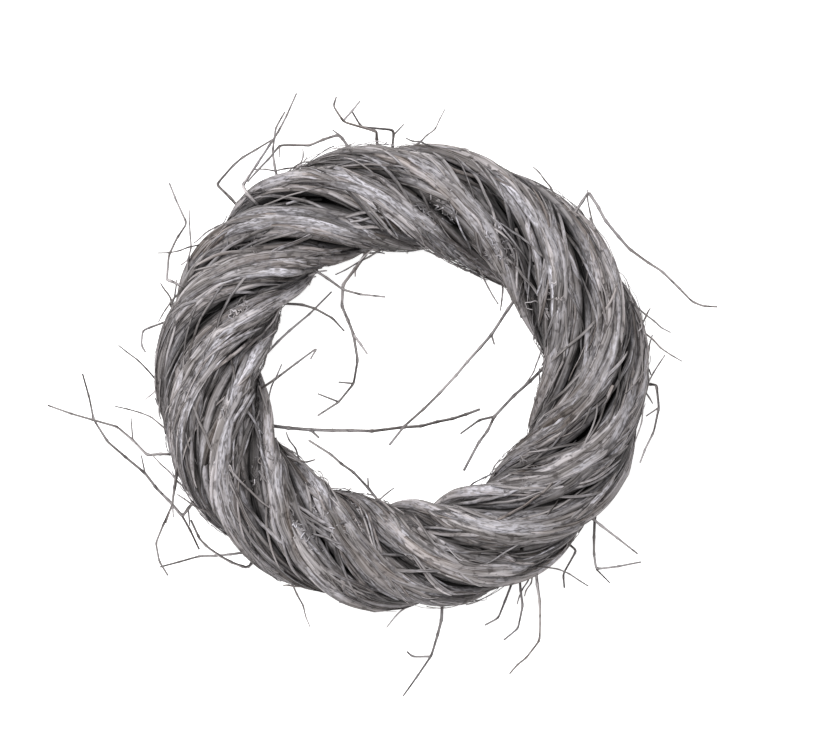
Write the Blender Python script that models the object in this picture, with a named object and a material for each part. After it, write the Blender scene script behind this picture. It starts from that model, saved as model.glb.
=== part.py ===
"""Grapevine wreath frame, about 30 cm across, lying flat with its front towards +Z."""
import math

import bmesh
import bpy
import numpy as np
from mathutils import Matrix, Vector

# ---- driving dimensions, metres ----
RING_RADIUS = 0.1145        # centre of the body, measured from the wreath's middle
RING_OVAL = 0.0035          # the ring is this much wider left-right than it is tall
FLATTEN = 0.9               # body thickness over body width
BUNDLES = 5                 # bundles of canes side by side round the section
# where each wrap stands out furthest, degrees round the ring: hand wrapping is uneven
CREST_ANGLES = (10, 45, 80, 105, 130, 150, 180, 210, 240, 265, 285, 310, 335)
CREST_EASE = 20             # the spacing changes evenly over this many degrees each way
BACK_PLANE = -0.0301        # the back crests are pared flat here
BUTT_GAP = 0.0026           # gap left where one cane ends and the next begins
TAPER = 0.10                # a cane is this share thicker at its root, thinner at its tip

# slot: distance from the body's centre, lead in the bundle (degrees), cane radius,
#       curve bevel resolution, straight pieces per turn of the ring, and where each cane
#       starts (degrees round the ring)
SLOTS = {
    "outer": (0.0298, -5, 0.0046, 2, 46, (20, -70, 65, 130, -25)),
    "second": (0.0265, 20, 0.0033, 1, 44, (-110, 40, -15, 95, 150)),
    "third": (0.0257, -30, 0.0031, 1, 44, (75, 160, -55, 10, -120)),
    "inner": (0.0172, 4, 0.0044, 1, 34, (-140, -40, 50, 120, 0)),
}
HOOPS = {"a": (90, 35), "b": (210, 155), "c": (330, 275)}   # seat in the core, gap angle
HOOP_RADIUS = 0.0035
HOOP_SEAT = 0.0049

GROOVE_LEAD = 31            # the groove between two bundles, degrees from a bundle's lead
ROOT_DEPTH = 0.0312         # how deep a loose tendril's root sits in the groove
ROOT_CLEAR = 0.0375         # distance from the body's centre where it is free of the canes

FREE_REACH = 0.0400         # distance from the body's centre of a tendril's first free point
LEG_STEP = 0.014            # a tendril's leg is made in pieces no longer than this

# loose tendrils: root and tip radius (mm), the side of the body, the root's ring angle (degrees),
# root and tip height (mm), then straight legs from bud to bud: length (mm) and heading (degrees)
TENDRILS = {
    "left_long": (1.0, 0.6, "out", 198, 2, 2, [(8, 180), (25, 135), (30, 165), (15, 160)]),
    "left_hook": (1.1, 0.6, "out", 212, -6, 2, [(6, 225), (35, 130), (30, 140), (15, 120),
                                                (30, 105)]),
    "lower_left_bow": (1.0, 0.6, "out", 206, 9, 2, [(12, 260), (25, 245), (12, 285), (10, 300)]),
    "lower_left_bar": (0.9, 0.6, "out", 226, -10, -4, [(20, 185), (24, 195)]),
    "lower_left_stub": (1.0, 0.7, "out", 231, 9, 7, [(17, 155), (10, 145), (8, 130), (12, 115)]),
    "bottom_long": (1.1, 0.6, "out", 279, 2, 5, [(10, 265), (14, 250), (30, 235)]),
    "bottom_hook": (0.9, 0.6, "out", 295, 3, 4, [(12, 250), (10, 205)]),
    "bottom_right_inner": (0.9, 0.6, "out", 299, -8, -6, [(10, 275), (13, 260), (12, 220)]),
    "bottom_right_outer": (1.0, 0.6, "out", 303, 5, 0, [(24, 275), (11, 270), (14, 230),
                                                        (14, 225)]),
    "right_lower_fork": (1.0, 0.6, "out", 320, -2, 3, [(20, 270), (14, 5), (15, 15)]),
    "right_lower_bar": (0.9, 0.6, "out", 323, 8, 9, [(12, 320), (15, 325)]),
    "right_lower_drop": (0.9, 0.6, "out", 315, -12, -10, [(17, 245), (8, 270)]),
    "right_long": (1.1, 0.6, "out", 44, 8, 2, [(8, 55), (20, 300), (24, 310), (24, 325),
                                               (26, 315), (16, 350)]),
    "right_arc": (0.9, 0.6, "out", 358, 0, 3, [(14, 270), (16, 260), (20, 245)]),
    "top_left_straight": (1.1, 0.6, "out", 130, 4, 2, [(28, 55), (22, 60), (16, 65)]),
    "top_left_loop": (1.0, 0.6, "out", 134, -8, -10, [(12, 135), (14, 50), (18, 35), (15, 30)]),
    "top_arch": (1.0, 0.6, "out", 104, 9, 16, [(4, 125), (20, 200), (18, 180), (30, 230)]),
    "top_left_tip": (0.9, 0.6, "out", 121, -3, -1, [(8, 105), (14, 80), (12, 60)]),
    "top_fork": (1.0, 0.6, "out", 96, 2, 0, [(22, 160), (10, 120), (6, 80)]),
    "top_bar": (0.9, 0.6, "out", 92, -10, -10, [(3, 95), (20, 175), (12, 120)]),
    "left_upper_loop": (0.9, 0.6, "out", 158, 4, 5, [(16, 85), (22, 60), (15, 110), (12, 115)]),
    "left_curl": (0.8, 0.6, "out", 169, 2, 4, [(6, 200), (9, 270), (5, 300)]),
    "hole_spiral": (1.2, 0.7, "in", 114, 2, 6, [(12, 235), (13, 270), (18, 290), (16, 280),
                                                (15, 260), (15, 230), (15, 215)]),
    "hole_top_bar": (0.9, 0.6, "in", 127, 11, 12, [(11, 325), (12, 340), (15, 355)]),
    "hole_left_bar": (0.9, 0.6, "in", 145, -4, -6, [(8, 355), (14, 325), (10, 315)]),
    "hole_left_bow": (0.9, 0.6, "in", 165, -12, -15, [(10, 45), (16, 40), (20, 45)]),
    "hole_left_hook": (0.9, 0.6, "in", 181, 0, 2, [(32, 35), (8, 235)]),
    "hole_diagonal": (1.1, 0.8, "in", 32, 7, 9, [(18, 235), (34, 230), (28, 225), (16, 220),
                                                 (15, 235)]),
    "hole_crossbar": (1.1, 0.9, "in", 204, -2, -2, [(27, 355), (25, 0), (20, 5), (30, 10),
                                                    (18, 20)]),
    "hole_right_bow": (1.1, 0.9, "in", 358, -10, -9, [(14, 220), (18, 230), (18, 240),
                                                      (20, 240)]),
    "hole_lower_bar": (0.9, 0.7, "in", 253, 5, 5, [(12, 130), (20, 145), (15, 145)]),
}
# side shoots: root and tip radius (mm), the legs passed before it leaves, its tip's height (mm)
# and its own legs
SHOOTS = {
    "left_hook": (0.8, 0.6, 1, -3, [(12, 300), (12, 295)]),
    "bottom_long": (0.8, 0.6, 2, 4, [(12, 180), (4, 130)]),
    "top_fork": (0.8, 0.6, 1, -1, [(8, 45), (8, 55)]),
    "hole_spiral": (0.9, 0.6, 3, 9, [(8, 310), (7, 300)]),
    "hole_right_bow": (0.9, 0.6, 2, -7, [(10, 195), (14, 215)]),
}

BARK = {  # colour, roughness
    "outer": ((0.20, 0.17, 0.16), 0.85),
    "second": ((0.26, 0.23, 0.23), 0.85),
    "third": ((0.15, 0.12, 0.10), 0.90),
    "inner": ((0.08, 0.065, 0.055), 0.95),
    "hoop": ((0.10, 0.08, 0.065), 0.95),
    "tendril": ((0.14, 0.11, 0.09), 0.80),
}
MM = 0.001


def wraps_passed(angle):
    """Wraps counted up to this ring angle: one more at each crest, with the spacing eased."""
    nearby = math.degrees(angle) + np.linspace(-CREST_EASE, CREST_EASE, 9)
    first, wraps = CREST_ANGLES[0], len(CREST_ANGLES)
    rounds, place = np.divmod(nearby - first, 360)
    crests = np.subtract(CREST_ANGLES + (first + 360,), first)
    return float(np.mean(wraps * rounds + np.interp(place, crests, range(wraps + 1))))


def body_point(angle, depth, around):
    """A point at this ring angle, this far from the body's centre, at this section angle."""
    reach = RING_RADIUS + RING_OVAL * math.cos(2 * angle) + depth * math.cos(around)
    return Vector((reach * math.cos(angle), reach * math.sin(angle),
                   FLATTEN * depth * math.sin(around)))


def cane_turn(angle, lead):
    return math.radians(lead) - math.tau / BUNDLES * wraps_passed(angle)


def bark(name, kind):
    (red, green, blue), rough = BARK[kind]
    made = bpy.data.materials.new(name + "_bark")
    made.use_nodes = True
    shader = made.node_tree.nodes["Principled BSDF"]
    shader.inputs["Base Color"].default_value = (red, green, blue, 1)
    shader.inputs["Roughness"].default_value = rough
    shader.inputs["Metallic"].default_value = 0.0
    return made


def cane(name, kind, points, radii, resolution, smooth_steps=0):
    """A round cane through the points, with closed cut ends, as a mesh object."""
    curve = bpy.data.curves.new(name, "CURVE")
    curve.dimensions = "3D"
    curve.bevel_depth = 1.0
    curve.bevel_resolution = resolution
    curve.use_fill_caps = True
    curve.twist_mode = "MINIMUM"
    if smooth_steps:
        line = curve.splines.new("BEZIER")
        line.bezier_points.add(len(points) - 1)
        line.resolution_u = smooth_steps
        for knot, point, radius in zip(line.bezier_points, points, radii):
            knot.co = point
            knot.radius = radius
            knot.handle_left_type = knot.handle_right_type = "AUTO"
    else:
        line = curve.splines.new("POLY")
        line.points.add(len(points) - 1)
        for knot, point, radius in zip(line.points, points, radii):
            knot.co = (*point, 1)
            knot.radius = radius
    sketch = bpy.data.objects.new(name + "_sketch", curve)
    bpy.context.collection.objects.link(sketch)
    bpy.context.view_layer.update()
    mesh = bpy.data.meshes.new_from_object(
        sketch.evaluated_get(bpy.context.evaluated_depsgraph_get()))
    bpy.data.objects.remove(sketch)
    bpy.data.curves.remove(curve)
    mesh.name = name
    mesh.materials.clear()
    mesh.materials.append(bark(name, kind))
    obj = bpy.data.objects.new(name, mesh)
    bpy.context.collection.objects.link(obj)
    return obj


def finish(obj, edit=None):
    """Weld the caps, run an optional edit, face everything outward and shade it round."""
    shape = bmesh.new()
    shape.from_mesh(obj.data)
    bmesh.ops.remove_doubles(shape, verts=shape.verts, dist=0.00001)
    if edit:
        edit(shape)
    bmesh.ops.recalc_face_normals(shape, faces=shape.faces)
    for face in shape.faces:
        face.smooth = len(face.verts) == 4
    shape.to_mesh(obj.data)
    shape.free()
    centre_origin(obj)


def centre_origin(obj):
    """Put the object's own origin at the middle of its box and place it by location."""
    corners = [vert.co for vert in obj.data.vertices]
    low = Vector([min(corner[axis] for corner in corners) for axis in range(3)])
    high = Vector([max(corner[axis] for corner in corners) for axis in range(3)])
    middle = (low + high) / 2
    obj.data.transform(Matrix.Translation(-middle))
    obj.location = middle


def pare_back(shape):
    """Slice the crests off at the back plane and close the cuts."""
    everything = shape.verts[:] + shape.edges[:] + shape.faces[:]
    cut = bmesh.ops.bisect_plane(shape, geom=everything, dist=0.000001,
                                 plane_co=(0, 0, BACK_PLANE), plane_no=(0, 0, -1),
                                 clear_outer=True)
    rim = [part for part in cut["geom_cut"] if isinstance(part, bmesh.types.BMEdge)]
    bmesh.ops.holes_fill(shape, edges=rim, sides=0)


def wrap_cane(slot, number):
    depth, lead, radius, resolution, pieces, starts = SLOTS[slot]
    follow = (number + 1) % BUNDLES
    first = math.tau * number + math.radians(starts[number])
    last = math.tau * (number + 1) + math.radians(starts[follow])
    gap = BUTT_GAP / (RING_RADIUS * 1.6)
    first, last = first + gap / 2, last - gap / 2
    steps = round(pieces * (last - first) / math.tau)
    points, radii = [], []
    for step in range(steps + 1):
        share = step / steps
        angle = first + (last - first) * share
        points.append(body_point(angle, depth, cane_turn(angle, lead)))
        radii.append(radius * (1 + TAPER * (0.5 - share)))
    name = f"wrap_cane_{slot}_{number + 1}"
    obj = cane(name, slot, points, radii, resolution)
    finish(obj, pare_back if slot == "outer" else None)
    return obj


def hoop_cane(letter):
    seat, opening = HOOPS[letter]
    half_gap = BUTT_GAP / RING_RADIUS / 2
    first = math.radians(opening) + half_gap
    last = math.radians(opening) + math.tau - half_gap
    steps = 32
    points = [body_point(first + (last - first) * step / steps, HOOP_SEAT, math.radians(seat))
              for step in range(steps + 1)]
    obj = cane(f"hoop_cane_{letter}", "hoop", points, [HOOP_RADIUS] * len(points), 1)
    finish(obj)
    return obj


def groove_near(angle, around):
    """The section angle of the groove closest to the wanted one."""
    base = cane_turn(angle, GROOVE_LEAD)
    step = math.tau / BUNDLES
    return base + step * round((around - base) / step)


def rooted(angle, height, side):
    """Down in the nearest groove, just out of it, and then free of the body at this height."""
    lift = math.asin(height * MM / (FLATTEN * FREE_REACH))
    around = lift if side == "out" else math.pi - lift
    groove = groove_near(angle, around)
    return [body_point(angle, ROOT_DEPTH, groove), body_point(angle, ROOT_CLEAR, groove),
            body_point(angle, FREE_REACH, around)]


def corners(start, tip_height, legs):
    """The ends of a shoot's straight legs, changing height evenly along the way."""
    whole = sum(length for length, heading in legs)
    points = [start]
    for length, heading in legs:
        turn = math.radians(heading)
        rise = (tip_height * MM - start.z) * length / whole
        points.append(points[-1] + Vector((length * MM * math.cos(turn),
                                           length * MM * math.sin(turn), rise)))
    return points


def shoot(name, root, tip, points):
    """A tapering shoot through the points, with more points along its long legs."""
    line = [points[0]]
    for first, last in zip(points, points[1:]):
        pieces = math.ceil((last - first).length / LEG_STEP)
        line += [first.lerp(last, piece / pieces) for piece in range(1, pieces + 1)]
    radii = [MM * (root + (tip - root) * index / (len(line) - 1)) for index in range(len(line))]
    obj = cane(name, "tendril", line, radii, 1, smooth_steps=2)
    finish(obj)
    return obj


def tendril(name):
    root, tip, side, degrees, height, tip_height, legs = TENDRILS[name]
    base = rooted(math.radians(degrees), height, side)
    free = corners(base[-1], tip_height, legs)
    obj = shoot("tendril_" + name, root, tip, base[:-1] + free)
    if name in SHOOTS:
        root, tip, passed, tip_height, legs = SHOOTS[name]
        join(obj, shoot(obj.name + "_shoot", root, tip, corners(free[passed], tip_height, legs)))
    return obj


def join(obj, branch):
    """Grow a side shoot out of a tendril so that both are one body."""
    union = obj.modifiers.new("side_shoot", "BOOLEAN")
    union.operation = "UNION"
    union.solver = "EXACT"
    union.object = branch
    bpy.context.view_layer.update()
    graph = bpy.context.evaluated_depsgraph_get()
    merged = bpy.data.meshes.new_from_object(obj.evaluated_get(graph))
    obj.modifiers.clear()
    old = obj.data
    obj.data = merged
    bpy.data.meshes.remove(old)
    merged.name = obj.name
    merged.materials.clear()
    merged.materials.append(bpy.data.materials[obj.name + "_bark"])
    spare = branch.data
    bpy.data.objects.remove(branch)
    bpy.data.meshes.remove(spare)
    bpy.data.materials.remove(bpy.data.materials[obj.name + "_shoot_bark"])


for old in list(bpy.data.objects):
    bpy.data.objects.remove(old)
for letter in HOOPS:
    hoop_cane(letter)
for slot in SLOTS:
    for number in range(BUNDLES):
        wrap_cane(slot, number)
for name in TENDRILS:
    tendril(name)
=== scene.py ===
import bpy
import math
import numpy as np
from mathutils import Matrix


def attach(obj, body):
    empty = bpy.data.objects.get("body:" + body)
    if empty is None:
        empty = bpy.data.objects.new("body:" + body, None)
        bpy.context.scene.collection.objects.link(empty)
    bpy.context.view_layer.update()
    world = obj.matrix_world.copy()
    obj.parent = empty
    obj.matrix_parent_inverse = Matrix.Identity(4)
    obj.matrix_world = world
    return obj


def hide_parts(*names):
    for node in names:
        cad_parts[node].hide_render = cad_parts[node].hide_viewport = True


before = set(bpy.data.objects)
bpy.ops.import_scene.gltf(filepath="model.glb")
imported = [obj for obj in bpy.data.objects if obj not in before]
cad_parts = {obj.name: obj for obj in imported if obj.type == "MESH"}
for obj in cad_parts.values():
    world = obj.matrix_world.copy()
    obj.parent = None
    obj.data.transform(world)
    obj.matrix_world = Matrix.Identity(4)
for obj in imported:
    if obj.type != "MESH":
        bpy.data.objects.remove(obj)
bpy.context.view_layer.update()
dice = np.random.default_rng(11)

mm = 0.001

# the ring that every cane follows, metres
wreath = {"ringRadius": 0.1145, "ringOval": 0.0035, "flatten": 0.9, "bundles": 5,
          # where each wrap stands out furthest, and how far its spacing is eased, degrees
          "crests": (10, 45, 80, 105, 130, 150, 180, 210, 240, 265, 285, 310, 335), "ease": 20,
          "bundleCentre": 0.0202, "bundleRadius": 0.0138, "backPlane": -0.0301,
          "backEase": 0.002, "offBody": -0.02}


def turnsPassed(angle):
    # one more at each crest, evenly between them
    first, wraps = wreath["crests"][0], len(wreath["crests"])
    nearby = np.degrees(angle)[..., None] + np.linspace(-wreath["ease"], wreath["ease"], 9)
    rounds, place = np.divmod(nearby - first, 360)
    crests = np.subtract(wreath["crests"] + (first + 360,), first)
    return np.mean(wraps * rounds + np.interp(place, crests, range(wraps + 1)), axis=-1)


def ringRadius(angle):
    return wreath["ringRadius"] + wreath["ringOval"] * np.cos(2 * angle)


def bodyPoints(angle, depth, around):
    reach = ringRadius(angle) + depth * np.cos(around)
    return np.stack([reach * np.cos(angle), reach * np.sin(angle),
                     wreath["flatten"] * depth * np.sin(around)], axis=-1)


def wrapPoints(angle, depth, lead):
    # a cane's centre line, and the direction out of the body at each point
    around = lead - math.tau / wreath["bundles"] * turnsPassed(angle)
    centre = bodyPoints(angle, depth, around)
    return centre, bodyPoints(angle, depth + 0.01, around) - centre


def wander(length, waves, reach):
    # a smooth random drift along a cane
    t = np.linspace(0, 1, length)
    total = np.zeros(length)
    for wave in range(1, waves + 1):
        total += np.sin(math.tau * (wave * t * dice.uniform(0.6, 1.1) + dice.random())) / wave ** 0.7
    return reach * total / 1.6


def runLength(centre):
    return np.concatenate([[0], np.cumsum(np.linalg.norm(np.diff(centre, axis=0), axis=1))])


def newStock():
    return {"verts": [], "faces": [], "grain": [], "tone": [], "wash": [], "bare": [], "count": 0}


def addCane(stock, centre, outward, radius, sides, tone, wash=1.0, ridges=0.0, flat=1.0, bare=0.0):
    # sweeps one cane: ridged bark, a closed cut end at each end, and its own grain directions
    rings = len(centre)
    along = np.gradient(centre, axis=0)
    along /= np.linalg.norm(along, axis=1, keepdims=True) + 1e-12
    up = outward - along * np.sum(outward * along, axis=1, keepdims=True)
    up /= np.linalg.norm(up, axis=1, keepdims=True) + 1e-12
    side = np.cross(along, up)
    turn = np.arange(sides) * math.tau / sides
    run = runLength(centre)
    swell = np.ones((rings, sides))
    if ridges:
        for count in (3, 5, 8, 11, 13):
            slide = wander(rings, 5, 1.2) + dice.uniform(0, math.tau)
            swell += ridges * np.sin(count * turn[None, :] + slide[:, None]) / count ** 0.35
        swell += wander(rings, max(3, rings // 5), ridges * 0.9)[:, None]
    reach = np.asarray(radius)[:, None] * swell
    ring = (centre[:, None, :] + (reach * np.cos(turn))[:, :, None] * up[:, None, :] * flat
            + (reach * np.sin(turn))[:, :, None] * side[:, None, :])
    offset = dice.uniform(0, 8)
    grain = np.stack([np.broadcast_to(run[:, None] + offset, (rings, sides)),
                      reach * np.cos(turn), reach * np.sin(turn)], axis=-1)
    ends = np.stack([centre[0] - along[0] * radius[0] * 0.3, centre[-1] + along[-1] * radius[-1] * 0.3])
    start = stock["count"]
    index = start + np.arange(rings * sides).reshape(rings, sides)
    after = np.roll(index, -1, axis=1)
    quads = np.stack([index[:-1], after[:-1], after[1:], index[1:]], axis=-1).reshape(-1, 4)
    first, last = start + rings * sides, start + rings * sides + 1
    caps = ([[first, b, a] for a, b in zip(index[0], after[0])]
            + [[last, a, b] for a, b in zip(index[-1], after[-1])])
    stock["verts"].append(np.concatenate([ring.reshape(-1, 3), ends]))
    stock["faces"] += quads.tolist() + caps
    endGrain = [[run[0] + offset, 0, 0], [run[-1] + offset, 0, 0]]
    stock["grain"].append(np.concatenate([grain.reshape(-1, 3), endGrain]))
    stock["tone"].append(np.full(rings * sides + 2, tone))
    stock["wash"].append(np.full(rings * sides + 2, wash))
    stock["bare"].append(np.full(rings * sides + 2, bare))
    stock["count"] += rings * sides + 2


def bodyReach(verts):
    # distance from the middle of the body, 1 at the crests of the wraps
    angle = np.arctan2(verts[:, 1], verts[:, 0])
    offset = np.hypot(verts[:, 0], verts[:, 1]) - ringRadius(angle)
    crest = wreath["bundleCentre"] + wreath["bundleRadius"]
    return np.hypot(offset, verts[:, 2] / wreath["flatten"]) / crest


def makePiece(name, stock, material, slot, *nodes):
    verts = np.concatenate(stock["verts"])
    # the back is pressed nearly flat, never past the back plane
    over = verts[:, 2] - wreath["backPlane"] - wreath["backEase"]
    pressed = wreath["backPlane"] + wreath["backEase"] * np.exp(np.minimum(over, 0) / wreath["backEase"])
    verts[:, 2] = np.where(over < 0, pressed, verts[:, 2])
    mesh = bpy.data.meshes.new(name)
    mesh.from_pydata(verts.tolist(), [], stock["faces"])
    # each point's depth in the body, which the bark turns into painted shade
    stock["reach"] = [bodyReach(verts)]
    for title, kind, field in (("grain", "FLOAT_VECTOR", "vector"), ("tone", "FLOAT", "value"),
                               ("wash", "FLOAT", "value"), ("bare", "FLOAT", "value"),
                               ("reach", "FLOAT", "value")):
        layer = mesh.attributes.new(title, kind, "POINT")
        layer.data.foreach_set(field, np.concatenate(stock[title]).astype(np.float32).ravel())
    mesh.polygons.foreach_set("use_smooth", [True] * len(mesh.polygons))
    mesh.materials.append(material)
    mesh.update()
    piece = bpy.data.objects.new(name, mesh)
    bpy.context.collection.objects.link(piece)
    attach(piece, "root")
    if nodes:
        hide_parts(*nodes)
    return piece


# finishes

def groupSocket(group, name, kind, way, value=None):
    socket = group.interface.new_socket(name, in_out=way, socket_type=kind)
    if value is not None:
        socket.default_value = value
    return socket


def mixColour(nodes, links, mask, low, high):
    mix = nodes.new("ShaderNodeMix")
    mix.data_type = "RGBA"
    for socket, source in ((mix.inputs[0], mask), (mix.inputs[6], low), (mix.inputs[7], high)):
        if isinstance(source, (tuple, float)):
            socket.default_value = source if isinstance(source, float) else (*source, 1)
        else:
            links.new(source, socket)
    return mix.outputs[2]


def grainNoise(nodes, links, vector, along, across, detail=2.0):
    stretch = nodes.new("ShaderNodeMapping")
    stretch.inputs["Scale"].default_value = (along, across, across)
    links.new(vector, stretch.inputs["Vector"])
    noise = nodes.new("ShaderNodeTexNoise")
    noise.inputs["Scale"].default_value = 1.0
    noise.inputs["Detail"].default_value = detail
    links.new(stretch.outputs[0], noise.inputs["Vector"])
    return noise.outputs["Fac"]


def ramp(nodes, links, source, low, high):
    spread = nodes.new("ShaderNodeMapRange")
    spread.interpolation_type = "SMOOTHSTEP"
    spread.inputs["From Min"].default_value = low
    spread.inputs["From Max"].default_value = high
    links.new(source, spread.inputs["Value"])
    return spread.outputs[0]


def maths(nodes, links, operation, first, second):
    node = nodes.new("ShaderNodeMath")
    node.operation = operation
    for socket, source in zip(node.inputs, (first, second)):
        if isinstance(source, float):
            socket.default_value = source
        else:
            links.new(source, socket)
    return node.outputs[0]


# cycles per metre along and across a cane, and detail
barkNoise = {"fine": (34, 1100, 3.0), "broad": (18, 420, 2.0), "patch": (26, 110, 3.0),
             "fleck": (260, 1000, 2.0), "blotch": (9, 60, 1.0), "mottle": (170, 260, 4.0)}
# where each mask begins and where it is full; one mask fades out the painted shade deep in the body
barkRange = {"body": (0.34, 0.58), "pale": (0.46, 0.66), "bare": (0.52, 0.66), "worn": (0.34, 0.60),
             "cracked": (0.53, 0.64), "fibre": (0.50, 0.40), "outOfPaintedShade": (0.74, 1.0),
             "facing": (0.1, 0.95), "coat": (0.36, 0.74), "fleck": (0.40, 0.60)}
# how strong two of the masks are, the least wash, and the range of roughness
barkShare = {"cracked": 0.7, "fibre": 0.3, "coatLeast": 0.35, "smoothest": 0.62, "roughest": 0.9}


def barkGroup():
    # weathered vine bark: fibres along the cane, a pale wash on what faces the front, and painted shade
    # darkening canes that lie deep in the body
    group = bpy.data.node_groups.new("vineBark", "ShaderNodeTree")
    # the first colour is a near-black for the painted shade deep in the body
    for name, value in (("Painted Shade", (0.008, 0.007, 0.007)), ("Dark", (0.033, 0.026, 0.024)),
                        ("Bark", (0.212, 0.194, 0.190)), ("Pale", (0.47, 0.437, 0.442)),
                        ("Bare", (0.20, 0.150, 0.118)), ("Wash Colour", (0.70, 0.68, 0.74))):
        groupSocket(group, name, "NodeSocketColor", "INPUT", (*value, 1))
    for name, value in (("Wash", 0.5), ("Bare Amount", 0.3), ("Tone", 1.0), ("Washed", 0.5),
                        ("Stripped", 0.0), ("Reach", 1.0)):
        groupSocket(group, name, "NodeSocketFloat", "INPUT", value)
    groupSocket(group, "Grain", "NodeSocketVector", "INPUT")
    groupSocket(group, "Colour", "NodeSocketColor", "OUTPUT")
    groupSocket(group, "Roughness", "NodeSocketFloat", "OUTPUT")
    groupSocket(group, "Height", "NodeSocketFloat", "OUTPUT")
    nodes, links = group.nodes, group.links
    entry = nodes.new("NodeGroupInput").outputs
    fine, broad, patch, fleck, blotch, mottle = [
        grainNoise(nodes, links, entry["Grain"], *noise) for noise in barkNoise.values()]
    body = ramp(nodes, links, fine, *barkRange["body"])
    colour = mixColour(nodes, links, body, entry["Dark"], entry["Bark"])
    pale = ramp(nodes, links, broad, *barkRange["pale"])
    colour = mixColour(nodes, links, pale, colour, entry["Pale"])
    bare = ramp(nodes, links, blotch, *barkRange["bare"])
    bare = maths(nodes, links, "MULTIPLY", bare, entry["Bare Amount"])
    worn = ramp(nodes, links, broad, *barkRange["worn"])
    worn = maths(nodes, links, "MULTIPLY", worn, entry["Stripped"])
    bare = maths(nodes, links, "MAXIMUM", bare, worn)
    colour = mixColour(nodes, links, bare, colour, entry["Bare"])
    cracked = maths(nodes, links, "MULTIPLY", ramp(nodes, links, mottle, *barkRange["cracked"]),
                    barkShare["cracked"])
    colour = mixColour(nodes, links, cracked, colour, entry["Dark"])
    fibre = maths(nodes, links, "MULTIPLY", ramp(nodes, links, fine, *barkRange["fibre"]),
                  barkShare["fibre"])
    colour = mixColour(nodes, links, fibre, colour, entry["Dark"])
    lift = nodes.new("ShaderNodeHueSaturation")
    links.new(colour, lift.inputs["Color"])
    links.new(entry["Tone"], lift.inputs["Value"])
    # painted shade: the deeper a cane lies in the body, the nearer it goes to near black, and the wash
    # stays off it
    outOfPaintedShade = ramp(nodes, links, entry["Reach"], *barkRange["outOfPaintedShade"])
    colour = mixColour(nodes, links, outOfPaintedShade, entry["Painted Shade"], lift.outputs[0])
    normal = nodes.new("ShaderNodeNewGeometry")
    split = nodes.new("ShaderNodeSeparateXYZ")
    links.new(normal.outputs["Normal"], split.inputs[0])
    facing = ramp(nodes, links, split.outputs["Z"], *barkRange["facing"])
    coat = maths(nodes, links, "MULTIPLY", facing, ramp(nodes, links, patch, *barkRange["coat"]))
    coat = maths(nodes, links, "MULTIPLY", coat, maths(nodes, links, "ADD", barkShare["coatLeast"],
                 ramp(nodes, links, fleck, *barkRange["fleck"])))
    coat = maths(nodes, links, "MULTIPLY", coat, entry["Wash"])
    coat = maths(nodes, links, "MULTIPLY", coat, entry["Washed"])
    coat = maths(nodes, links, "MULTIPLY", coat, outOfPaintedShade)
    clamp = nodes.new("ShaderNodeClamp")
    links.new(coat, clamp.inputs["Value"])
    colour = mixColour(nodes, links, clamp.outputs[0], colour, entry["Wash Colour"])
    leave = nodes.new("NodeGroupOutput").inputs
    links.new(colour, leave["Colour"])
    rough = nodes.new("ShaderNodeMapRange")
    rough.inputs["To Min"].default_value = barkShare["smoothest"]
    rough.inputs["To Max"].default_value = barkShare["roughest"]
    links.new(fine, rough.inputs["Value"])
    links.new(rough.outputs[0], leave["Roughness"])
    height = maths(nodes, links, "SUBTRACT", maths(nodes, links, "ADD", fine, broad), mottle)
    links.new(height, leave["Height"])
    return group


def caneInputs(nodes, links, bark):
    # a cane carries its own grain direction, tone, wash and depth in the wreath; the depth sets its
    # painted shade
    for title, socket in (("grain", "Grain"), ("tone", "Tone"), ("wash", "Washed"),
                          ("bare", "Stripped"), ("reach", "Reach")):
        carried = nodes.new("ShaderNodeAttribute")
        carried.attribute_name = title
        links.new(carried.outputs["Vector" if title == "grain" else "Fac"], bark.inputs[socket])


def hoopInputs(nodes, links, bark):
    # a hoop's grain runs round the ring: way round, distance from the middle, height
    place = nodes.new("ShaderNodeTexCoord").outputs["Object"]
    split = nodes.new("ShaderNodeSeparateXYZ")
    links.new(place, split.inputs[0])
    angle = maths(nodes, links, "ARCTAN2", split.outputs["Y"], split.outputs["X"])
    length = nodes.new("ShaderNodeVectorMath")
    length.operation = "LENGTH"
    links.new(place, length.inputs[0])
    joined = nodes.new("ShaderNodeCombineXYZ")
    links.new(maths(nodes, links, "MULTIPLY", angle, wreath["ringRadius"]), joined.inputs["X"])
    links.new(length.outputs["Value"], joined.inputs["Y"])
    links.new(split.outputs["Z"], joined.inputs["Z"])
    links.new(joined.outputs[0], bark.inputs["Grain"])
    # hoops lie deep in the body, so they are given nearly all painted shade
    bark.inputs["Reach"].default_value = 0.75


def barkFinish(name, bumpDepth=0.0006, feed=caneInputs, **values):
    finish = bpy.data.materials.new(name)
    finish.use_nodes = True
    nodes, links = finish.node_tree.nodes, finish.node_tree.links
    shader = nodes["Principled BSDF"]
    bark = nodes.new("ShaderNodeGroup")
    bark.node_tree = vineBark
    feed(nodes, links, bark)
    for socket, value in values.items():
        bark.inputs[socket.replace("_", " ")].default_value = value
    links.new(bark.outputs["Colour"], shader.inputs["Base Color"])
    links.new(bark.outputs["Roughness"], shader.inputs["Roughness"])
    bump = nodes.new("ShaderNodeBump")
    bump.inputs["Strength"].default_value = 1.0
    bump.inputs["Distance"].default_value = bumpDepth
    links.new(bark.outputs["Height"], bump.inputs["Height"])
    links.new(bump.outputs["Normal"], shader.inputs["Normal"])
    shader.inputs["Specular IOR Level"].default_value = 0.35
    return finish


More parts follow.
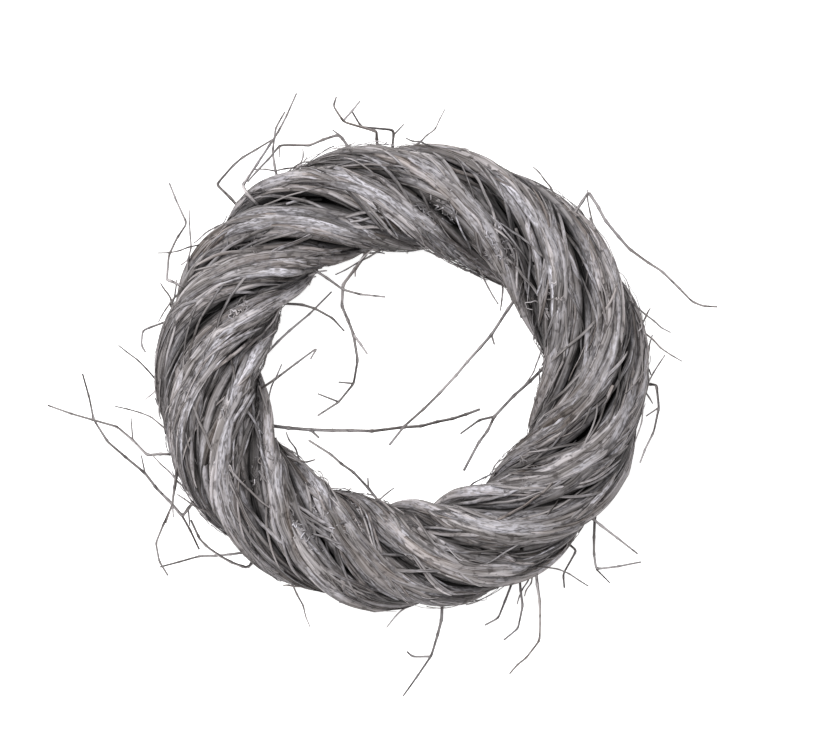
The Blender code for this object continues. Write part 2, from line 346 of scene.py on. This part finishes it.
vineBark = barkGroup()
thickBark = barkFinish("thickVineBark", Wash=0.85, Bare_Amount=0.25)
thinBark = barkFinish("thinVineBark", Wash=0.7, Bare_Amount=0.35)
darkBark = barkFinish("innerVineBark", Wash=0.2, Bare_Amount=0.3)
tendrilBark = barkFinish("tendrilBark", 0.0002, Wash=0.3, Bare_Amount=0.25)
hoopBark = barkFinish("hoopVineBark", feed=hoopInputs, Wash=0.1, Bare_Amount=0.3)
for letter in "abc":
    hoop = bpy.data.objects["hoop_cane_" + letter]
    hoop.data.materials.clear()
    hoop.data.materials.append(hoopBark)
print("finishes made")

# thick wrap canes: one for each in the frame

wrapCanes = {
    "outer": {"depth": 0.0298, "lead": -5, "radius": 0.0046, "starts": (20, -70, 65, 130, -25),
              "sides": 30, "wash": 1.0, "finish": thickBark},
    "second": {"depth": 0.0265, "lead": 20, "radius": 0.0036, "starts": (-110, 40, -15, 95, 150),
               "sides": 24, "wash": 0.9, "finish": thickBark},
    "third": {"depth": 0.0252, "lead": -27, "radius": 0.0034, "starts": (75, 160, -55, 10, -120),
              "sides": 24, "wash": 0.7, "finish": thickBark},
    "inner": {"depth": 0.0172, "lead": 4, "radius": 0.0044, "starts": (-140, -40, 50, 120, 0),
              "sides": 18, "wash": 0.2, "finish": darkBark},
}
caneShape = {"stepsPerTurn": 230, "taper": 0.10, "buttGap": 0.0026, "ridge": 0.035,
             "knotEvery": 0.085, "knotSwell": 0.16, "knotLength": 0.005,
             "depthDrift": 0.0010, "leadDrift": 4}


def knots(run):
    # swellings where leaves and shoots once grew
    swell = np.zeros(len(run))
    place = dice.uniform(0.01, caneShape["knotEvery"])
    while place < run[-1]:
        swell += caneShape["knotSwell"] * dice.uniform(0.4, 1.1) * np.exp(
            -((run - place) / (caneShape["knotLength"] * dice.uniform(0.7, 1.3))) ** 2)
        place += caneShape["knotEvery"] * dice.uniform(0.6, 1.4)
    return swell


for slot, cane in wrapCanes.items():
    for number in range(wreath["bundles"]):
        follow = (number + 1) % wreath["bundles"]
        half = caneShape["buttGap"] / wreath["ringRadius"] / 3.2
        first = math.tau * number + math.radians(cane["starts"][number]) + half
        last = math.tau * (number + 1) + math.radians(cane["starts"][follow]) - half
        rings = int(caneShape["stepsPerTurn"] * (last - first) / math.tau)
        angle = np.linspace(first, last, rings)
        depth = cane["depth"] + wander(rings, 9, caneShape["depthDrift"])
        lead = np.radians(cane["lead"] + wander(rings, 7, caneShape["leadDrift"]))
        centre, outward = wrapPoints(angle, depth, lead)
        run = runLength(centre)
        share = np.linspace(0, 1, rings)
        radius = cane["radius"] * (1 + caneShape["taper"] * (0.5 - share) + knots(run))
        stock = newStock()
        addCane(stock, centre, outward, radius, cane["sides"], dice.uniform(0.8, 1.15),
                cane["wash"] * dice.uniform(0.6, 1.1), caneShape["ridge"])
        makePiece(f"wrapCane_{slot}_{number + 1}", stock, cane["finish"], f"{slot}_cane_bark",
                  f"wrap_cane_{slot}_{number + 1}")
print("wrap canes made")

# the many thinner vines in each bundle

vineLayers = {
    "heavyVine": {"count": 44, "radius": (0.0024, 0.0040), "spread": (0.0065, 0.0100), "fan": 74,
                  "turns": (0.5, 1.6), "steps": 170, "sides": 16, "drift": 0.0012, "swing": 16,
                  "ridge": 0.05, "pieces": 2},
    "mediumVine": {"count": 80, "radius": (0.0012, 0.0022), "spread": (0.0085, 0.0114), "fan": 76,
                   "turns": (0.35, 1.4), "steps": 150, "sides": 9, "drift": 0.0016, "swing": 26,
                   "ridge": 0.05, "pieces": 2},
    "barkStrip": {"count": 150, "radius": (0.0009, 0.0021), "spread": (0.0122, 0.0142), "fan": 80,
                  "turns": (0.05, 0.28), "steps": 160, "sides": 8, "drift": 0.0008, "swing": 9,
                  "ridge": 0.06, "pieces": 1, "flat": 0.22},
    "thinVine": {"count": 170, "radius": (0.0005, 0.0010), "spread": (0.0095, 0.0125), "fan": 84,
                 "turns": (0.15, 0.9), "steps": 130, "sides": 6, "drift": 0.0020, "swing": 34,
                 "ridge": 0.0, "pieces": 2},
}


def bundleSize(angle):
    # bundles swell and thin out along their way
    return (0.97 + 0.10 * np.sin(angle * 7 / wreath["bundles"] + 1.0)
            + 0.07 * np.sin(angle * 16 / wreath["bundles"] + 2.0))


def bundlePoints(angle, spread, around):
    # a place inside a bundle, given from the bundle's own middle
    outer = wreath["bundleCentre"] + bundleSize(angle) * spread * np.cos(around)
    sideways = bundleSize(angle) * spread * np.sin(around)
    return wrapPoints(angle, np.hypot(outer, sideways), np.arctan2(sideways, outer))


for name, layer in vineLayers.items():
    for part in range(layer["pieces"]):
        stock = newStock()
        for _ in range(layer["count"] // layer["pieces"]):
            length = math.tau * dice.uniform(*layer["turns"])
            first = dice.uniform(0, math.tau * wreath["bundles"])
            rings = max(8, int(layer["steps"] * length / math.tau))
            angle = np.linspace(first, first + length, rings)
            waves = max(2, int(length / 0.8))
            spread = dice.uniform(*layer["spread"]) + wander(rings, waves, layer["drift"])
            around = np.radians(dice.uniform(-layer["fan"], layer["fan"])
                                + wander(rings, waves, layer["swing"]))
            centre, outward = bundlePoints(angle, spread, around)
            taper = 1 - 0.45 * np.linspace(0, 1, rings)
            radius = dice.uniform(*layer["radius"]) * taper * (1 + knots(runLength(centre)))
            addCane(stock, centre, outward, radius, layer["sides"], dice.uniform(0.6, 1.35),
                    dice.uniform(0.1, 1.1), layer["ridge"], layer.get("flat", 1.0))
        makePiece(f"{name}_{part + 1}", stock, thinBark, "second_cane_bark")
print("thinner vines made")

# short dry fibres lying loose on the wraps

fibres = {"count": 950, "radius": (0.00024, 0.00046), "length": (0.008, 0.040), "slant": 38,
          "clear": 0.0006, "lift": 0.0007, "bow": 0.0012, "fan": 75, "step": 0.003}


def addFibres(stock):
    for _ in range(fibres["count"]):
        length = dice.uniform(*fibres["length"])
        rings = max(6, int(length / fibres["step"]))
        run = np.linspace(-0.5, 0.5, rings) * length
        slant = math.radians(dice.normal(0, fibres["slant"] * 0.5))
        first = dice.uniform(0, math.tau * wreath["bundles"])
        around = math.radians(dice.uniform(-fibres["fan"], fibres["fan"]))
        angle = first + run * math.cos(slant) / wreath["ringRadius"] * 0.85
        swing = around + run * math.sin(slant) / wreath["bundleRadius"] * 0.9
        lift = fibres["lift"] * dice.random() * (1 + wander(rings, 2, 0.7))
        spread = wreath["bundleRadius"] + fibres["clear"] + lift
        centre, outward = bundlePoints(angle, spread, swing)
        sway = np.stack([wander(rings, 2, fibres["bow"] * dice.random()) for _ in range(3)], axis=1)
        radius = dice.uniform(*fibres["radius"]) * (1 - 0.5 * np.linspace(0, 1, rings))
        addCane(stock, centre + sway, outward, radius, 4, dice.uniform(0.5, 1.7), dice.uniform(0, 1.0))


stock = newStock()
addFibres(stock)
makePiece("looseFibres", stock, thinBark, "third_cane_bark")
print("fibres made")

def frontHeight(x, y):
    # how high the wraps reach over a place on the ring
    angle = np.arctan2(y, x)
    offset = np.hypot(x, y) - ringRadius(angle)
    best = np.full(np.shape(angle), wreath["offBody"])
    for number in range(wreath["bundles"]):
        around = -math.tau / wreath["bundles"] * turnsPassed(angle + math.tau * number)
        across = offset - wreath["bundleCentre"] * np.cos(around)
        room = wreath["bundleRadius"] ** 2 - across ** 2
        top = wreath["bundleCentre"] * np.sin(around) + np.sqrt(np.maximum(room, 0))
        best = np.where(room > 0, np.maximum(best, wreath["flatten"] * top), best)
    return best


def smoothWay(points, gap, soft):
    # a slightly rounded line through the given points, with evenly spaced steps
    points = np.array(points, dtype=float)
    at = runLength(points)
    count = max(6, int(at[-1] / gap))
    fine = np.linspace(0, at[-1], count)
    line = np.stack([np.interp(fine, at, points[:, axis]) for axis in range(3)], axis=1)
    for _ in range(3):
        inner = (line[:-2] + line[2:]) / 2
        line[1:-1] += soft * (inner - line[1:-1])
    return line


# canes lying over the front of the wraps, from the inner edge out as the ring turns
frontShape = {"reach": 0.0305, "step": 0.0016, "sink": 0.35, "dive": 2.2, "ridge": 0.07,
              "margin": 26, "bare": 0.6, "bareShare": 0.06, "sway": 0.0006}
# count on each wrap, radius, share of the crossing, fan and slant (degrees), sides, wash,
# how far each spans over a hollow, and the bark it wears
frontCanes = {
    "frontSmooth": {"count": 3, "radius": (0.0026, 0.0042), "share": (0.6, 0.98), "fan": 13,
                    "slant": 7, "sides": 22, "wash": (0.4, 1.1), "bridge": 0.003,
                    "finish": thinBark},
    "frontMiddling": {"count": 7, "radius": (0.0012, 0.0024), "share": (0.4, 0.9), "fan": 30,
                      "slant": 24, "sides": 12, "wash": (0.1, 1.1), "bridge": 0.004,
                      "finish": thinBark},
    "frontStringy": {"count": 15, "radius": (0.0005, 0.0013), "share": (0.35, 1.0), "fan": 50,
                     "slant": 58, "sides": 7, "wash": (0.0, 1.1), "bridge": 0.012,
                     "finish": thinBark},
    "frontAccent": {"count": 1, "radius": (0.0018, 0.0042), "share": (0.7, 1.0), "fan": 20,
                    "slant": 30, "sides": 20, "wash": (0.3, 1.6), "bridge": 0.005,
                    "finish": thickBark},
}


def frontWay(angle, around, bridge):
    # the line over the front at these ring angles, spanning the hollows between the wraps
    line = bodyPoints(angle, frontShape["reach"], around)
    line[:, 0] += wander(len(line), max(2, len(line) // 9), frontShape["sway"])
    line[:, 1] += wander(len(line), max(2, len(line) // 9), frontShape["sway"])
    height = frontHeight(line[:, 0], line[:, 1])
    reach = int(bridge / frontShape["step"])
    for gather in (np.max, np.mean):
        padded = np.pad(height, reach, mode="edge")
        height = gather([padded[i:i + len(height)] for i in range(2 * reach + 1)], axis=0)
    line[:, 2] = height
    return line


def addFrontCane(stock, angle, around, radius, sides, wash, bare, tone, bridge):
    # the ends thin out and dive between the other canes
    line = frontWay(angle, around, bridge)
    rings = len(line)
    ends = np.abs(np.linspace(-1, 1, rings)) ** 6
    line[:, 2] += radius * (wander(rings, max(2, rings // 14), 0.15) - frontShape["sink"]
                            - frontShape["dive"] * ends)
    size = radius * (1 - 0.75 * ends) * (1 + knots(runLength(line)))
    addCane(stock, line, np.tile([0.05, 0.03, 1.0], (rings, 1)), size, sides, tone, wash,
            frontShape["ridge"] if radius > 0.0013 else 0.0, 1.0, bare)


def ringSteps(first, last):
    length = abs(last - first) * wreath["ringRadius"] * 1.2
    return np.linspace(first, last, max(8, int(length / frontShape["step"])))


# a bundle faces the front three quarters of a turn on from the outer edge
loops = np.linspace(0, math.tau * wreath["bundles"], 4000)
facing = np.arange(0.75 * wreath["bundles"], turnsPassed(loops[-1]), wreath["bundles"])
crossings = [float(np.interp(turns, turnsPassed(loops), loops)) for turns in facing]
rate = len(wreath["crests"]) / wreath["bundles"]
for group, layer in frontCanes.items():
    stock = newStock()
    for middle in crossings:
        for _ in range(layer["count"]):
            half = math.pi / 2 / rate
            length = 2 * half * dice.uniform(*layer["share"])
            centre = middle + dice.uniform(-1, 1) * (half - length / 2)
            angle = ringSteps(centre - length / 2, centre + length / 2)
            lead = math.radians(dice.uniform(-layer["fan"], layer["fan"]))
            slant = math.radians(dice.uniform(-layer["slant"], layer["slant"]))
            around = (lead + slant * np.linspace(-1, 1, len(angle))
                      - math.tau / wreath["bundles"] * turnsPassed(angle))
            around = (around + math.pi / 2) % math.tau - math.pi / 2
            margin = math.radians(frontShape["margin"])
            kept = (around > margin) & (around < math.pi - margin)
            if kept.sum() > 7:
                addFrontCane(stock, angle[kept], around[kept], dice.uniform(*layer["radius"]),
                             layer["sides"], dice.uniform(*layer["wash"]),
                             frontShape["bare"] if dice.random() < frontShape["bareShare"] else 0.0,
                             dice.uniform(0.5, 1.3), layer["bridge"])
    makePiece(group, stock, layer["finish"], "outer_cane_bark")
print("front canes made")

# curly tangles of dead tendril caught in the hollows, and stubs where canes broke off
tangles = {"count": 12, "strands": 9, "size": (0.003, 0.008), "radius": (0.0003, 0.0006),
           "turns": (0.15, 0.5), "scatter": 0.005, "squash": (0.25, 0.8), "steps": 26,
           "lift": 0.0012}
brokenStubs = {"count": 14, "radius": (0.0010, 0.0020), "length": (0.008, 0.020), "rise": 0.30,
               "rings": 12, "sides": 12, "ridge": 0.08, "bare": 0.6, "bareShare": 0.25}
# pale frayed patches, caught in the hollows like the tangles
frayed = {"count": 5, "strands": 26, "wash": 2.0}


# how far from a crossing, the groove beside a bundle (degrees), its edge (radians) and depth
hollow = {"along": 0.38, "lead": 36, "edge": 0.95, "depth": 0.029}


def hollowPlace():
    # a place on the front, in the groove between two bundles
    middle = dice.choice(crossings) + dice.uniform(-hollow["along"], hollow["along"])
    turned = math.tau / wreath["bundles"] * turnsPassed(middle)
    around = (math.radians(hollow["lead"]) - turned) % math.tau
    around = min(max(around, hollow["edge"]), math.pi - hollow["edge"])
    return bodyPoints(np.array([middle]), hollow["depth"], np.array([around]))[0]


def addTangle(stock, place, strands, wash):
    steps = tangles["steps"]
    for _ in range(strands):
        size = dice.uniform(*tangles["size"])
        turn = np.linspace(0, math.tau * dice.uniform(*tangles["turns"]), steps) + dice.uniform(0, 6)
        swing = size * (1 + wander(steps, 4, 0.6))
        squash = dice.uniform(*tangles["squash"])
        heading = math.atan2(place[1], place[0]) + math.pi / 2 + dice.normal(0, 0.5)
        long, wide = swing * np.cos(turn), swing * squash * np.sin(turn)
        line = place + dice.normal(0, tangles["scatter"], 3) * (1, 1, 0.15) + np.stack(
            [long * math.cos(heading) - wide * math.sin(heading),
             long * math.sin(heading) + wide * math.cos(heading), wander(steps, 3, 0.001)], axis=1)
        line[:, 2] += frontHeight(line[:, 0], line[:, 1]) + tangles["lift"] - place[2]
        size = dice.uniform(*tangles["radius"]) * (1 - 0.5 * np.linspace(0, 1, steps))
        addCane(stock, line, np.tile([0.11, 0.07, 1.0], (steps, 1)), size, 5,
                dice.uniform(0.7, 1.5), wash * dice.uniform(0.2, 1.2))


def addStub(stock):
    place = hollowPlace()
    heading = math.atan2(place[1], place[0]) + math.pi / 2 - 0.5 + dice.normal(0, 0.35)
    rings = brokenStubs["rings"]
    run = np.linspace(0, dice.uniform(*brokenStubs["length"]), rings)
    line = place + np.stack([run * math.cos(heading), run * math.sin(heading),
                             run * brokenStubs["rise"] * dice.random()], axis=1)
    line[:, 2] += frontHeight(*place[:2]) - place[2]
    size = dice.uniform(*brokenStubs["radius"]) * (1 - 0.35 * (run / run[-1]) ** 4)
    addCane(stock, line, np.tile([0.11, 0.07, 1.0], (rings, 1)), size, brokenStubs["sides"],
            dice.uniform(0.8, 1.4), dice.uniform(0.4, 1.2), brokenStubs["ridge"], 1.0,
            brokenStubs["bare"] if dice.random() < brokenStubs["bareShare"] else 0.0)


stock = newStock()
for _ in range(tangles["count"]):
    addTangle(stock, hollowPlace(), tangles["strands"], 1.0)
for _ in range(frayed["count"]):
    addTangle(stock, hollowPlace(), frayed["strands"], frayed["wash"])
makePiece("tangles", stock, thinBark, "third_cane_bark")
stock = newStock()
for _ in range(brokenStubs["count"]):
    addStub(stock)
makePiece("brokenStubs", stock, thickBark, "second_cane_bark")
print("tangles and stubs made")

# loose tendrils: root and tip radius (mm), the side of the body, the root's ring angle (degrees),
# root and tip height (mm), then straight legs from bud to bud: length (mm) and heading (degrees)
tendrilRoutes = {
    "left_long": (1.0, 0.6, "out", 198, 2, 2, [(8, 180), (25, 135), (30, 165), (15, 160)]),
    "left_hook": (1.1, 0.6, "out", 212, -6, 2, [(6, 225), (35, 130), (30, 140), (15, 120),
                                                (30, 105)]),
    "lower_left_bow": (1.0, 0.6, "out", 206, 9, 2, [(12, 260), (25, 245), (12, 285), (10, 300)]),
    "lower_left_bar": (0.9, 0.6, "out", 226, -10, -4, [(20, 185), (24, 195)]),
    "lower_left_stub": (1.0, 0.7, "out", 231, 9, 7, [(17, 155), (10, 145), (8, 130), (12, 115)]),
    "bottom_long": (1.1, 0.6, "out", 279, 2, 5, [(10, 265), (14, 250), (30, 235)]),
    "bottom_hook": (0.9, 0.6, "out", 295, 3, 4, [(12, 250), (10, 205)]),
    "bottom_right_inner": (0.9, 0.6, "out", 299, -8, -6, [(10, 275), (13, 260), (12, 220)]),
    "bottom_right_outer": (1.0, 0.6, "out", 303, 5, 0, [(24, 275), (11, 270), (14, 230),
                                                        (14, 225)]),
    "right_lower_fork": (1.0, 0.6, "out", 320, -2, 3, [(20, 270), (14, 5), (15, 15)]),
    "right_lower_bar": (0.9, 0.6, "out", 323, 8, 9, [(12, 320), (15, 325)]),
    "right_lower_drop": (0.9, 0.6, "out", 315, -12, -10, [(17, 245), (8, 270)]),
    "right_long": (1.1, 0.6, "out", 44, 8, 2, [(8, 55), (20, 300), (24, 310), (24, 325),
                                               (26, 315), (16, 350)]),
    "right_arc": (0.9, 0.6, "out", 358, 0, 3, [(14, 270), (16, 260), (20, 245)]),
    "top_left_straight": (1.1, 0.6, "out", 130, 4, 2, [(28, 55), (22, 60), (16, 65)]),
    "top_left_loop": (1.0, 0.6, "out", 134, -8, -10, [(12, 135), (14, 50), (18, 35), (15, 30)]),
    "top_arch": (1.0, 0.6, "out", 104, 9, 16, [(4, 125), (20, 200), (18, 180), (30, 230)]),
    "top_left_tip": (0.9, 0.6, "out", 121, -3, -1, [(8, 105), (14, 80), (12, 60)]),
    "top_fork": (1.0, 0.6, "out", 96, 2, 0, [(22, 160), (10, 120), (6, 80)]),
    "top_bar": (0.9, 0.6, "out", 92, -10, -10, [(3, 95), (20, 175), (12, 120)]),
    "left_upper_loop": (0.9, 0.6, "out", 158, 4, 5, [(16, 85), (22, 60), (15, 110), (12, 115)]),
    "left_curl": (0.8, 0.6, "out", 169, 2, 4, [(6, 200), (9, 270), (5, 300)]),
    "hole_spiral": (1.2, 0.7, "in", 114, 2, 6, [(12, 235), (13, 270), (18, 290), (16, 280),
                                                (15, 260), (15, 230), (15, 215)]),
    "hole_top_bar": (0.9, 0.6, "in", 127, 11, 12, [(11, 325), (12, 340), (15, 355)]),
    "hole_left_bar": (0.9, 0.6, "in", 145, -4, -6, [(8, 355), (14, 325), (10, 315)]),
    "hole_left_bow": (0.9, 0.6, "in", 165, -12, -15, [(10, 45), (16, 40), (20, 45)]),
    "hole_left_hook": (0.9, 0.6, "in", 181, 0, 2, [(32, 35), (8, 235)]),
    "hole_diagonal": (1.1, 0.8, "in", 32, 7, 9, [(18, 235), (34, 230), (28, 225), (16, 220),
                                                 (15, 235)]),
    "hole_crossbar": (1.1, 0.9, "in", 204, -2, -2, [(27, 355), (25, 0), (20, 5), (30, 10),
                                                    (18, 20)]),
    "hole_right_bow": (1.1, 0.9, "in", 358, -10, -9, [(14, 220), (18, 230), (18, 240),
                                                      (20, 240)]),
    "hole_lower_bar": (0.9, 0.7, "in", 253, 5, 5, [(12, 130), (20, 145), (15, 145)]),
}
# side shoots: root and tip radius (mm), the legs passed before it leaves, its tip's height (mm)
# and its own legs
sideShoots = {
    "left_hook": (0.8, 0.6, 1, -3, [(12, 300), (12, 295)]),
    "bottom_long": (0.8, 0.6, 2, 4, [(12, 180), (4, 130)]),
    "top_fork": (0.8, 0.6, 1, -1, [(8, 45), (8, 55)]),
    "hole_spiral": (0.9, 0.6, 3, 9, [(8, 310), (7, 300)]),
    "hole_right_bow": (0.9, 0.6, 2, -7, [(10, 195), (14, 215)]),
}
tendrilShape = {"kinkEvery": (0.013, 0.024), "kink": 0.0005, "nodeSwell": 0.35, "sides": 6,
                "twigs": 0.5, "rootReach": 0.045, "rootInside": 0.74,
                "grooveLead": 31, "rootDepth": 0.0255, "rootClear": 0.0375, "free": 0.0400,
                "step": 0.0015, "soften": 0.25, "nodeLength": 0.0011}
strayShoots = {"count": 64, "radius": (0.0005, 0.0007), "length": (0.010, 0.040), "lean": (6, 34),
               "height": 0.012, "inside": 0.3, "bend": 45, "root": 0.030}


def tendrilStart(angle, height, side):
    # the section angle at this height, and the tendril's first point free of the body there
    lift = math.asin(height * mm / (wreath["flatten"] * tendrilShape["free"]))
    around = lift if side == "out" else math.pi - lift
    return around, bodyPoints(angle, tendrilShape["free"], around)


def legEnds(start, tipHeight, legs):
    # the ends of straight legs, changing height evenly along the way
    whole = sum(length for length, heading in legs)
    points = [start]
    for length, heading in legs:
        turn = math.radians(heading)
        rise = (tipHeight * mm - start[2]) * length / whole
        points.append(points[-1] + (length * mm * math.cos(turn), length * mm * math.sin(turn), rise))
    return points


def tendrilRoot(angle, around, free):
    # runs straight back into the body, or else straight out of the nearest groove
    back = (free[0] - free[1]) / np.linalg.norm(free[0] - free[1])
    for length in np.arange(0.002, tendrilShape["rootReach"], 0.001):
        place = free[0] + back * length
        if bodyReach(place[None])[0] < tendrilShape["rootInside"]:
            return [place]
    step = math.tau / wreath["bundles"]
    base = math.radians(tendrilShape["grooveLead"]) - step * turnsPassed(angle)
    around = base + step * round((around - base) / step)
    return [bodyPoints(angle, tendrilShape[depth], around) for depth in ("rootDepth", "rootClear")]


def kinked(points):
    # a dry shoot is nearly straight from bud to bud, and turns a little at each
    points = np.array(points, dtype=float)
    run = runLength(points)
    at = set(run)
    for start, end in zip(run[:-1], run[1:]):
        count = int((end - start) / dice.uniform(*tendrilShape["kinkEvery"]))
        at.update(start + (end - start) * (np.arange(1, count + 1) / (count + 1)))
    at = sorted(at)
    line = np.stack([np.interp(at, run, points[:, axis]) for axis in range(3)], axis=1)
    line[1:-1] += dice.normal(0, tendrilShape["kink"], (len(line) - 2, 3)) * (1, 1, 0.5)
    return line


def addTendril(stock, points, thick, thin, tone, twigs=0.0):
    buds = kinked(points)
    line = smoothWay(buds, tendrilShape["step"], tendrilShape["soften"])
    run = runLength(line)
    size = np.interp(run, [0, run[-1]], [thick, thin])
    for place in runLength(buds)[1:-1]:
        size = size * (1 + tendrilShape["nodeSwell"] * np.exp(
            -((run - place) / tendrilShape["nodeLength"]) ** 2))
    addCane(stock, line, np.tile([0.13, 0.21, 0.97], (len(line), 1)), size,
            tendrilShape["sides"], tone, dice.uniform(0.1, 0.8))
    for bud, after in zip(buds[2:-1], buds[3:]):
        if dice.random() < twigs * 0.3:
            heading = math.atan2(*(after - bud)[[1, 0]]) + dice.choice((-1, 1)) * dice.uniform(0.5, 1.0)
            length = dice.uniform(0.004, 0.014)
            tip = bud + length * np.array([math.cos(heading), math.sin(heading), 0.1])
            addTendril(stock, [bud, tip], thin, thin * 0.7, tone)
    return line


for name, (thick, thin, side, degrees, height, tipHeight, legs) in tendrilRoutes.items():
    stock = newStock()
    tone = dice.uniform(0.75, 1.2)
    angle = math.radians(degrees)
    around, start = tendrilStart(angle, height, side)
    free = legEnds(start, tipHeight, legs)
    parent = addTendril(stock, tendrilRoot(angle, around, free) + free, thick * mm, thin * mm, tone,
                        tendrilShape["twigs"])
    if name in sideShoots:
        thick, thin, passed, tipHeight, legs = sideShoots[name]
        bud = parent[np.argmin(np.linalg.norm(parent - free[passed], axis=1))]
        addTendril(stock, legEnds(bud, tipHeight, legs), thick * mm, thin * mm, tone)
    makePiece("tendril_" + name + "_twig", stock, tendrilBark, "tendril_bark", "tendril_" + name)


def addStrayShoot(stock):
    # a short shoot that springs from the edge of the ring and leans along it
    inside = dice.random() < strayShoots["inside"]
    angle = dice.uniform(0, math.tau)
    height = dice.uniform(-1, 1) * strayShoots["height"]
    edge = bodyPoints(angle, strayShoots["root"], math.pi if inside else 0.0) + (0, 0, height)
    lean = math.radians(dice.uniform(*strayShoots["lean"])) * (-1 if inside else 1)
    way = dice.choice((-1, 1))
    heading = angle + way * (math.pi / 2 - lean)
    bend = math.radians(dice.uniform(-1, 1) * strayShoots["bend"])
    length = dice.uniform(*strayShoots["length"])
    points = [edge]
    for share in np.linspace(0, 1, 6)[1:]:
        turned = heading + bend * share
        points.append(points[-1] + length / 5 * np.array([math.cos(turned), math.sin(turned), 0.05]))
    addTendril(stock, points, dice.uniform(*strayShoots["radius"]), strayShoots["radius"][0] * 0.8,
               dice.uniform(0.7, 1.3))


stock = newStock()
for _ in range(strayShoots["count"]):
    addStrayShoot(stock)
makePiece("strayShoots", stock, tendrilBark, "tendril_bark")
print("tendrils made")

# floor, light and camera

studio = {"viewWidth": 0.5093, "lookAt": (0.0068, 0.0), "distance": 3.0, "floorSize": 6.0,
          "floorBright": 0.95, "floorGlow": 0.75, "skyLight": 0.55, "keyPower": 60, "keySize": 1.6,
          "keyPlace": (-0.7, 0.9, 2.2), "keyTurn": (-22, -17, 0), "sensor": 36, "clipEnd": 50}


def setStage():
    bpy.ops.mesh.primitive_plane_add(size=studio["floorSize"], location=(0, 0, 0))
    floor = bpy.context.object
    floor.name = "studioFloor"
    floor.data.transform(Matrix.Translation((0, 0, wreath["backPlane"] - 0.0001)))
    paint = bpy.data.materials.new("floorPaint")
    paint.use_nodes = True
    shader = paint.node_tree.nodes["Principled BSDF"]
    shader.inputs["Base Color"].default_value = (studio["floorBright"],) * 3 + (1,)
    shader.inputs["Roughness"].default_value = 0.9
    shader.inputs["Emission Color"].default_value = (1, 1, 1, 1)
    shader.inputs["Emission Strength"].default_value = studio["floorGlow"]
    floor.data.materials.append(paint)
    world = bpy.data.worlds.new("paleStudio")
    world.use_nodes = True
    world.node_tree.nodes["Background"].inputs["Color"].default_value = (1, 1, 1, 1)
    world.node_tree.nodes["Background"].inputs["Strength"].default_value = studio["skyLight"]
    bpy.context.scene.world = world
    bpy.ops.object.light_add(type="AREA", location=studio["keyPlace"])
    key = bpy.context.object
    key.name = "keyLight"
    key.data.energy = studio["keyPower"]
    key.data.size = studio["keySize"]
    key.rotation_euler = [math.radians(turn) for turn in studio["keyTurn"]]
    bpy.ops.object.camera_add(location=(*studio["lookAt"], studio["distance"]), rotation=(0, 0, 0))
    camera = bpy.context.object
    camera.name = "frontCamera"
    camera.data.sensor_width = studio["sensor"]
    camera.data.lens = studio["sensor"] * studio["distance"] / studio["viewWidth"]
    camera.data.clip_end = studio["clipEnd"]
    bpy.context.scene.camera = camera
    bpy.context.scene.view_settings.view_transform = "Standard"


setStage()
print("stage set")
